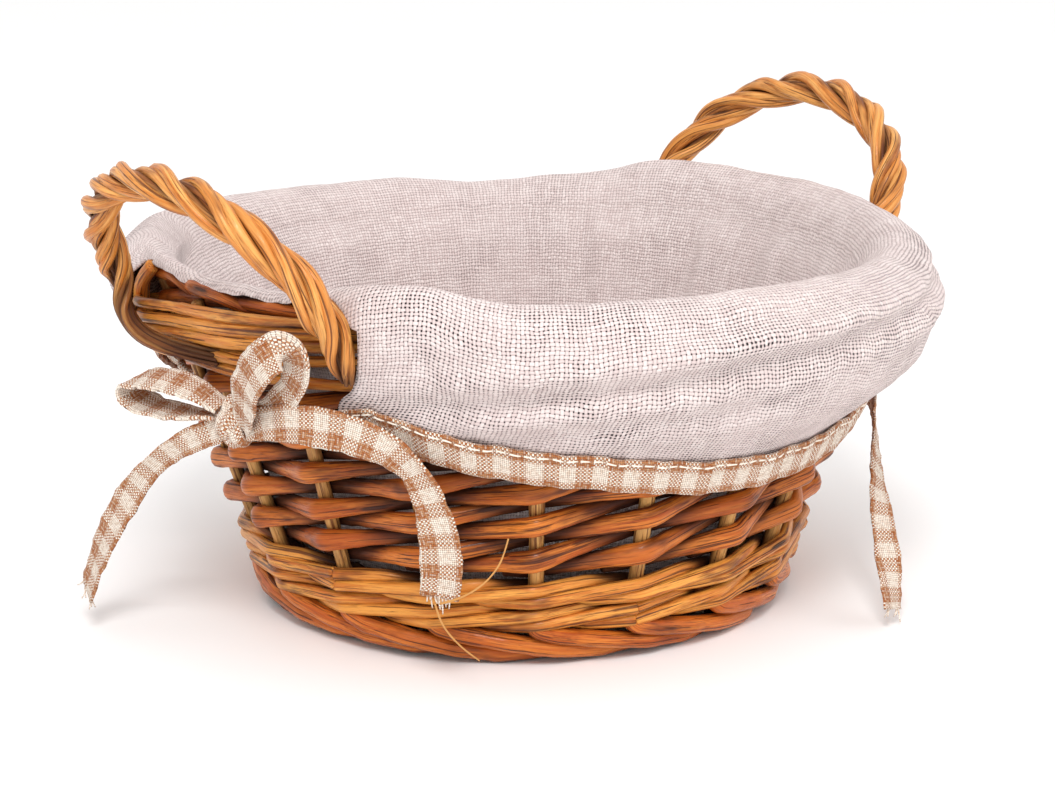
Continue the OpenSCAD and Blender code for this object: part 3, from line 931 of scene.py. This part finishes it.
def spline(knots, t):
    """Smooth line through (r, z) knots, at t from 0 to 1."""
    x = t * (len(knots) - 1)
    i = int(min(x, len(knots) - 2))
    f = x - i
    pick = (max(i - 1, 0), i, i + 1, min(i + 2, len(knots) - 1))
    p0, p1, p2, p3 = [np.stack(np.broadcast_arrays(*knots[k])) for k in pick]
    square = 2 * p0 - 5 * p1 + 4 * p2 - p3
    cube = 3 * p1 - p0 - 3 * p2 + p3
    return 0.5 * (2 * p1 + (p2 - p0) * f + square * f ** 2 + cube * f ** 3)


def flap_surface(facing, a, t):
    """Point of a flap: a is the angle from its middle, t runs from 0 at the rim to 1 under the tape."""
    full = np.clip(1 - np.abs(a / EDGE) ** 3, 0, 1)
    seam = hem_z(a, facing) + TAPE_W
    angle = facing + a
    if facing == 270:
        lean = 3.2 * bell(a, 24, 17) - 2.0 * bell(a, -34, 22)
    else:
        lean = 2.4 * bell(a, 60, 16) + 1.5 * ring_wave(angle, 57, 6)
    bulge = 7 * full * (1 + 0.12 * ring_wave(angle, 51, 5)) + lean
    rim = rim_knots(angle)
    top_z = rim[2][1]
    belly_r = OUT_R + 0.6 + 0.95 * bulge - 0.1 * (WALL_H - hem_z(a, facing))
    belly_z = seam + 0.45 * (FOLD_Z - 18 - seam)
    return spline(rim + [
        (OUT_R + 1.0 + 0.6 * bulge, top_z - 4.5), (OUT_R + 1.8 + bulge, top_z - 13), (belly_r, belly_z),
        (wall_r(seam) + 3.1, seam + 1.0), (wall_r(seam - 4) + 2.6, seam - 4)], t)


# Soft folds of the two flaps: angle and height of both ends, depth and width
FOLDS = {
    270: ((-66, 79, 54, 99, 2.8, 3.8), (-50, 70, -4, 78, 1.5, 3.2), (14, 82, 56, 90, 1.3, 3.6),
          (-30, 98, 30, 103, 1.2, 2.6)),
    90: ((-60, 88, 10, 97, 2.2, 3.6), (-20, 72, 52, 90, 2.4, 3.8), (-48, 76, 8, 66, 1.7, 3.4),
         (10, 98, 62, 90, 1.6, 3.0))}


def folds(facing, a, z):
    """How far the soft folds of a flap move it in or out."""
    total = 0.35 * wobble(a * 1.9 + z * 0.7, 61 + facing, 26)
    total = total + 0.22 * wobble(a * 1.1 - z * 1.3, 63 + facing, 19)
    for a0, z0, a1, z1, deep, wide in FOLDS[facing]:
        share = (a - a0) / (a1 - a0)
        inside = ease((share + 0.1) / 0.3) * ease((1.15 - share) / 0.35)
        off = z - (z0 + (z1 - z0) * share + 2.0 * np.sin(share * 3.0))
        total = total + inside * deep * (0.75 * bell(off, 1.5 * wide, wide) - bell(off, 0, wide))
    return total


ROWS = 64            # rows of a flap
OPEN_ROWS = 34       # rows of a flap that the cloth of the openings is joined to
CREST_T = 2 / 7      # share of a flap's outline that lies before its crest
GAP_EDGE = 90 - EDGE  # half the angle that an opening spans
BLEND = 5            # degrees over which the cloth of an opening takes up the flap's shape


def opening_rows(middle, steps):
    """Cloth between the two flaps: a short lip over the rim that runs into the flaps' ends."""
    off = steps - middle
    ends = []
    for side in (-1, 1):
        facing = 270 if (side < 0) == (middle == 0) else 90
        ends.append((facing, float(signed(middle + side * GAP_EDGE - facing))))
    rows = []
    for t in np.linspace(0, 1, ROWS)[:OPEN_ROWS]:
        rim = rim_knots(steps)
        crest_r, crest_z = rim[2]
        past = max(0.0, (t - CREST_T) / (OPEN_ROWS / ROWS - CREST_T))
        if t < CREST_T:
            r, z = spline(rim + [(crest_r + 2.4, crest_z - 1.6)], t / CREST_T * 2 / 3)
        else:
            rag = 0.5 * ring_wave(steps, 71, 31) * past ** 2
            r = crest_r + 2.6 * np.sin(past * 1.6) * (1 + 0.15 * ring_wave(steps, 73, 15))
            z = crest_z - 1.5 * past ** 1.5 + rag
        for side, (facing, a) in zip((-1, 1), ends):
            near = ease((off * side - GAP_EDGE + BLEND) / BLEND)
            edge_r, edge_z = flap_surface(facing, np.array([a]), t)
            rim_r, rim_z = crest(np.array([facing + a]))
            near = near * ease((t - 0.6 * CREST_T) / (0.4 * CREST_T))
            r = r + near * (edge_r - rim_r + crest_r - r)
            z = z + near * (edge_z - rim_z + crest_z - z)
        rows.append(polar(steps + slide(steps, t), r, z))
    return np.stack(rows)


def lengthwise(rows, start):
    """Length of cloth from the first row down to each other row."""
    steps = np.linalg.norm(np.diff(rows, axis=0), axis=-1)
    return start + np.concatenate([0 * steps[:1], np.cumsum(steps, axis=0)])


def build_liner():
    """The side and the two flaps, joined to one cloth along the openings."""
    mesh = Mesh()
    wide_r, high = 104.0, 86.0  # radius and height of the wall, as laid out for the weave's pattern
    around = np.linspace(0, 360, 481)
    up = np.concatenate([np.linspace(0, 0.85, 34), np.linspace(0.87, 1, 12)])

    def patch(rows, steps, start, tone=None):
        v = lengthwise(rows, start)
        uv = np.stack([np.broadcast_to(np.radians(steps) * wide_r, v.shape), v], -1) * MM
        mesh.grid(rows, uv=uv, tone=tone)

    patch(np.stack([inner_wall(around, s) for s in up]), around, 0)
    for facing in (270, 90):
        steps = around[np.abs(signed(around - facing)) <= EDGE + 1e-6]
        a = steps - facing
        rows, hole_shade = [], []
        for t in np.linspace(0, 1, ROWS):
            r, z = flap_surface(facing, a, t)
            fade = ease((t - 0.25) / 0.25) * (1 - ease((t - 0.8) / 0.12)) * ease((EDGE - np.abs(a)) / 9)
            r = r + fade * folds(facing, a, z)
            wide = 1 + 0.085 * ease((t - 0.55) / 0.4)
            shift = slide(steps, t) if facing == 90 else 0
            rows.append(polar(facing + a * wide + shift, r, z))
            # how much painted shade the flap's holes get: little at the rim, full past the crest where the
            # flap hangs outside the wall
            hole_shade.append(np.full(len(a), ease((t - 0.26) / 0.12)))
        patch(np.stack(rows), steps, high, tone=np.repeat(np.stack(hole_shade)[..., None], 3, -1))
    near = around[around <= GAP_EDGE + 1e-6]
    for middle, steps in ((0, np.concatenate([-near[:0:-1], near])),
                          (180, around[np.abs(around - 180) <= GAP_EDGE + 1e-6])):
        patch(opening_rows(middle, steps), steps, high)
    nodes = ["liner_wall", "liner_front_flap", "liner_rear_flap"]
    return mesh.build("liner_side_cloth", calico, nodes, thick=0.8, merge=True)


liner = build_liner()

bottom = Mesh()
around = np.linspace(0, 360, 145)
rows = []
for share in np.linspace(0.002, 1, 30):
    r = (liner_r(20) - 1.0) * share
    sag = 0.35 * wobble(share * 50 + around * 0.2, 81, 33) * ease(share * 2) * ease((1 - share) * 5)
    wave = 0.3 * np.cos(np.radians(around) * 3 + 8 * share) * share * (1 - share)
    rows.append(polar(around, r, 20.3 + 0.5 * share ** 8 + sag + wave))
rows = np.stack(rows)
bottom.grid(rows, uv=rows[..., :2] * MM)
liner_floor = bottom.build("liner_bottom_cloth", calico, ["liner_bottom"], thick=0.9, merge=True)


# ---- Tapes ----

LEFT_KNOT, RIGHT_KNOT, KNOT_Z = 184, 352, 70


def tape_z(a, facing):
    """Height of a tape's lower edge: along the hem, and on to the knots past the flap's ends."""
    over = np.abs(a) - EDGE
    end = hem_z(np.sign(a) * EDGE, facing)
    knot_z = HEM_LOW + HEM_RISE - over * 0.6
    return np.where(over < 0, hem_z(a, facing), knot_z + (end - HEM_LOW - HEM_RISE) * (1 - ease(over / 20)))


def tape_face(facing, a, share):
    """Outer face of a tape at an angle from the middle of its flap and at a share of its width."""
    z0 = tape_z(a, facing)
    past = ease((np.abs(a) - EDGE) / 14)
    narrow = 1 - 0.22 * past
    pinch = 0.35 * wobble(a * 1.6, 91 + facing, 11) + past * 0.6 * wobble(a * 1.6, 95 + facing, 9)
    if facing == 90:
        tail = np.clip((a - EDGE) / 27, 0, 1)
        z0 = z0 + 5.5 * np.sin(np.pi * tail ** 0.8)
        narrow = narrow - 0.3 * np.sin(np.pi * tail ** 0.7)
    r = wall_r(z0) + 3.6 + 4.2 * share * narrow + pinch * (0.5 + share)
    z = z0 + TAPE_W * share * narrow + (1 - narrow) * 5 + 0.35 * wobble(a * 1.6, 93 + facing, 19)
    return polar(facing + a, r, z)


def build_tape(name, facing, first, last):
    """A tape with plump edges and a groove along its row of stitches."""
    mesh = Mesh()
    a = np.arange(first, last, 0.35)
    cols, seam_col = 15, 12
    share = np.linspace(0, 1, cols)
    outer = np.stack([tape_face(facing, a, s) for s in share], 1)
    normal = unit(np.cross(np.gradient(outer, axis=1), np.gradient(outer, axis=0)))
    normal *= np.sign((normal * unit(outer * [1, 1, 0])).sum(-1, keepdims=True))
    plump = 0.25 * np.sqrt(np.clip(1 - (2 * share - 1) ** 8, 0, 1))
    plump = plump + 0.3 * bell(share, 0.93, 0.07) - 0.25 * bell(share, 0.82, 0.03)
    thick = 1.5 * np.sqrt(np.clip(1.04 - (2 * share - 1) ** 10, 0.05, 1))
    outer = outer + plump[None, :, None] * normal
    inner = outer - thick[None, :, None] * normal
    s = lengths(outer[:, 5])
    uv = cloth_uv(s, np.broadcast_to(share * TAPE_W, (len(a), cols)))
    mesh.grid(np.concatenate([outer, inner[:, ::-1]], 1), uv=uv, wrap=True, caps=True)
    node = name + "_tape"
    cloth = mesh.build(node + "_cloth", check, [node])
    stitches = Mesh()
    row = outer[:, seam_col] + 0.12 * normal[:, seam_col]
    at, rng = 2.0, np.random.default_rng(97 + facing)
    while at < s[-1] - 4:
        long = rng.uniform(2.3, 2.9)
        where = np.linspace(at, at + long, 7)
        line = np.stack([np.interp(where, s, row[:, i]) for i in range(3)], 1)
        line = line + unit(line * [1, 1, 0]) * (0.16 * np.sin(np.linspace(0, np.pi, 7)) - 0.1)[:, None]
        thread(stitches, line, 0.3, int(at))
        at += long + rng.uniform(0.7, 1.1)
    return cloth, stitches.build(node + "_stitches", string)


IN_KNOT = 3.6  # a tape starts this many degrees past the middle of a knot
front_tape, front_stitches = build_tape("front", 270, LEFT_KNOT + IN_KNOT - 270, RIGHT_KNOT - IN_KNOT - 270)
rear_tape, rear_stitches = build_tape("rear", 90, RIGHT_KNOT + IN_KNOT - 450, LEFT_KNOT - IN_KNOT - 90)


# ---- Bows ----

def placed(points):
    """Points given as angle, radius, height, and any more columns, with the first three as x, y, z."""
    pts = np.asarray(points, float)
    return np.concatenate([polar(pts[:, 0], pts[:, 1], pts[:, 2]), pts[:, 3:]], 1)


def tie(name, points, seed, across, soft, fray=0, thick=0.6):
    """A ribbon piece of a bow; each point is angle, radius, height, width and twist."""
    mesh = Mesh()
    line = follow(placed(points), 0.8, soft)
    ribbon(mesh, line[:, :3], line[:, 3], line[:, 4], seed, thick, across)
    if fray:
        rng = np.random.default_rng(seed)
        end, t = line[-1, :3], headings(line[:, :3])[-1]
        u, v = wall_frames(line[:, :3])
        turn = math.radians(line[-1, 4])
        w = v[-1] * math.cos(turn) + u[-1] * math.sin(turn)
        for i in range(fray):  # frayed yarns at the cut end
            start = end + w * rng.uniform(-0.48, 0.48) * line[-1, 3] - t * 0.8
            long = rng.uniform(1.6, 4.2)
            bend = rng.normal(0, 0.35, 3) * long
            pts = [start, start + t * long * 0.5 + bend * 0.25, start + t * long + bend]
            pts[2][2] = max(pts[2][2], 0.6)
            thread(mesh, follow(pts, 0.5, 0.8), 0.27, seed + i)
    mesh.build(name + "_cloth", check, [name])


def knot(name, angle):
    """The knot: a short band wrapped round the ties, with a second turn across it."""
    mesh = Mesh()
    centre = polar(angle, 109.4, KNOT_Z)
    out = unit(polar(angle, 1.0, 0.0))
    up = np.array([0, 0, 1.0])
    side = np.cross(up, out)
    a = np.radians(np.arange(0, 361, 8))
    c, s = np.cos(a)[:, None], np.sin(a)[:, None]
    x = np.linspace(-1, 1, 13)
    barrel = (1 - 0.30 * x ** 2) * (1 + 0.10 * np.sin(6 * x + 2 * s) * (0.5 + 0.5 * np.abs(c)))
    turns = ((9.6, 4.2, 7.2, 10, 0.0), (6.2, 4.6, 6.0, -34, 0.8))
    for i, (wide, deep, tall, lean, shift) in enumerate(turns):
        tilt = math.radians(lean)
        along = side * math.cos(tilt) + up * math.sin(tilt)
        upward = np.cross(out, along)
        faces = []
        for inset, stretch in ((0, 1 + 0.06 * np.cos(2 * a)[:, None]), (1, 0.98 + 0 * c)):
            faces.append(centre + out * shift
                         + ((deep - inset) * c * barrel)[..., None] * out
                         + ((tall - inset) * s * barrel)[..., None] * upward
                         + (x * wide / 2 * stretch)[..., None] * along)
        across = np.broadcast_to(x * wide / 2 + 4 * i + 4, barrel.shape)
        mesh.grid(np.concatenate([faces[0], faces[1][:, ::-1]], 1), uv=cloth_uv(a * 4.8, across), wrap=True)
    mesh.build(name + "_cloth", check, [name], merge=True)


knot("left_bow_knot", LEFT_KNOT)
knot("right_bow_knot", RIGHT_KNOT)
tie("left_bow_front_loop", [
    (186.5, 111.5, 70, 7, 0), (188.8, 115, 76, 10, 4), (190.8, 118.5, 82.5, 11.2, 6),
    (193.6, 121.3, 89, 11.2, 6), (196, 122.3, 93.4, 10.8, 4), (197.6, 120.6, 95.6, 10.4, 0),
    (198.6, 117.8, 94, 9.8, -4), (198.4, 115.6, 89.5, 9, -6), (196.6, 113.8, 83, 8.4, -4),
    (192.5, 112.2, 76.5, 7.4, 0), (187, 111, 71, 5.5, 0)], 101, 5.2, soft=1.5, thick=0.8)
tie("left_bow_rear_loop", [
    (182.5, 111.5, 74, 6, 100), (179, 114, 77.6, 8, 112), (174.5, 116.4, 79, 9, 118),
    (170, 118.6, 78.4, 9.6, 118), (167, 120.4, 76.8, 9.8, 110), (165.6, 121.2, 74.2, 9.8, 95),
    (166.2, 120.6, 71.6, 9.8, 80), (169, 118.8, 70, 9.4, 72), (173.5, 116.2, 70, 8.6, 72),
    (178, 113.6, 70.4, 7, 80), (181.5, 111.5, 71, 5.5, 85)], 103, 5.2, soft=1.3, thick=0.9)
tie("left_bow_front_tail", [
    (187, 111.5, 69.5, 7, 0), (191, 113, 72.5, 9, 5), (197, 114, 74.5, 10.5, 5), (204, 112.8, 73.5, 11, 0),
    (210, 110.5, 69.5, 10, -8), (213.5, 108, 62.5, 8.6, -18), (215.2, 106.2, 54, 9.4, -6),
    (216.2, 105, 44, 11, 2), (216.2, 103.6, 34, 11.4, 4),
    (215.6, 102.4, 27.5, 10.4, 4)], 105, 0.6, fray=16, soft=2.6)
tie("left_bow_rear_tail", [
    (182, 111.5, 67.5, 7, 0), (177.5, 114, 64, 7.5, 20), (172.5, 117, 58, 6.4, 45),
    (168.5, 120, 51, 6.2, 42), (165, 123, 42, 8.6, 22), (162, 127, 31, 10.2, 8), (159.6, 130, 20, 10.6, 4),
    (158.2, 131.8, 11.5, 10, 2)], 107, 0.6, fray=8, soft=3.2)
tie("right_bow_front_loop", [
    (351, 112, 71, 6, 0), (347, 115.5, 76, 9, 0), (342, 119.5, 81, 10.5, 5), (338, 121.5, 82, 11, 8),
    (336.5, 119, 80, 11, 10), (338, 116, 76.5, 10, 10), (343, 113.5, 73, 8, 5),
    (349, 111, 70.5, 5, 0)], 111, 5.2, soft=2.0)
tie("right_bow_rear_loop", [
    (354, 112, 72, 6, 0), (358, 115.5, 78, 9, 0), (3, 119.5, 86, 10.5, 0), (7.5, 121.5, 90, 11, 0),
    (9, 119, 88.5, 11, 0), (8, 116, 84, 10, 0), (2, 113.5, 78, 8, 0),
    (356, 111, 71, 5, 0)], 113, 5.2, soft=2.0)
tie("right_bow_front_tail", [
    (350, 111, 67, 7, 0), (343, 110.5, 62, 8.5, 8), (333, 108.5, 56, 10, 0), (322, 106, 51.5, 10.5, 0),
    (311, 104.5, 46, 10, -10), (304.5, 105.5, 38, 9.4, -20), (299.5, 108.5, 28.5, 7.0, -55),
    (296.3, 111.5, 21.5, 7.0, -75), (293.8, 114, 13, 9.6, -20),
    (292.6, 115.5, 5.5, 10.4, -12)], 115, 0.6, fray=5, soft=3.0)
tie("right_bow_rear_tail", [
    (354, 111.5, 67, 7, 0), (0, 114.5, 60, 8.6, 10), (6, 118, 50, 10, 0), (10, 122, 38, 10.4, -10),
    (13, 125, 25, 10.4, 0), (15, 126, 12, 10, 0)], 117, 0.6, fray=8, soft=3.2)

loose = Mesh()
long_thread = [(215.9, 104.5, 26.5), (219, 105.5, 28.5), (222.5, 107, 33), (225, 108, 39), (226, 108, 46)]
short_thread = [(215.2, 104.5, 26.5), (216.0, 103.5, 20), (218.5, 100, 13), (221, 97, 8.5)]
thread(loose, follow(placed(long_thread), 0.6, 3), 0.33, 5)
thread(loose, follow(placed(short_thread), 0.6, 3), 0.3, 6)
loose.build("left_bow_loose_threads", pale)


# ---- Stage ----

def make_floor():
    mesh = bpy.data.meshes.new("floor")
    bm = bmesh.new()
    bmesh.ops.create_grid(bm, x_segments=2, y_segments=2, size=6)
    bm.to_mesh(mesh)
    bm.free()
    floor = bpy.data.objects.new("floor", mesh)
    bpy.context.scene.collection.objects.link(floor)
    mesh.materials.append(plain("floor_paper", 3, (250, 250, 250), (253, 253, 253), 0.7))


make_floor()

world = bpy.data.worlds.new("studio")
bpy.context.scene.world = world
world.use_nodes = True
background = world.node_tree.nodes["Background"]
background.inputs["Color"].default_value = (1, 0.99, 0.985, 1)
background.inputs["Strength"].default_value = 1.0


MIDDLE = Vector((0, 0, 0.05))  # what the lights are turned to


def softbox(name, place, size, power):
    data = bpy.data.lights.new(name, "AREA")
    data.shape = "RECTANGLE"
    data.size, data.size_y = size
    data.energy = power
    light = bpy.data.objects.new(name, data)
    light.location = place
    light.rotation_euler = (Vector(place) - MIDDLE).to_track_quat("Z", "Y").to_euler()
    bpy.context.scene.collection.objects.link(light)


softbox("key", (-0.7, -0.75, 1.1), (0.4, 0.4), 10.5)
softbox("fill", (0.5, -1.1, 0.7), (0.9, 0.6), 2.5)
bpy.context.scene.view_settings.view_transform = "Standard"
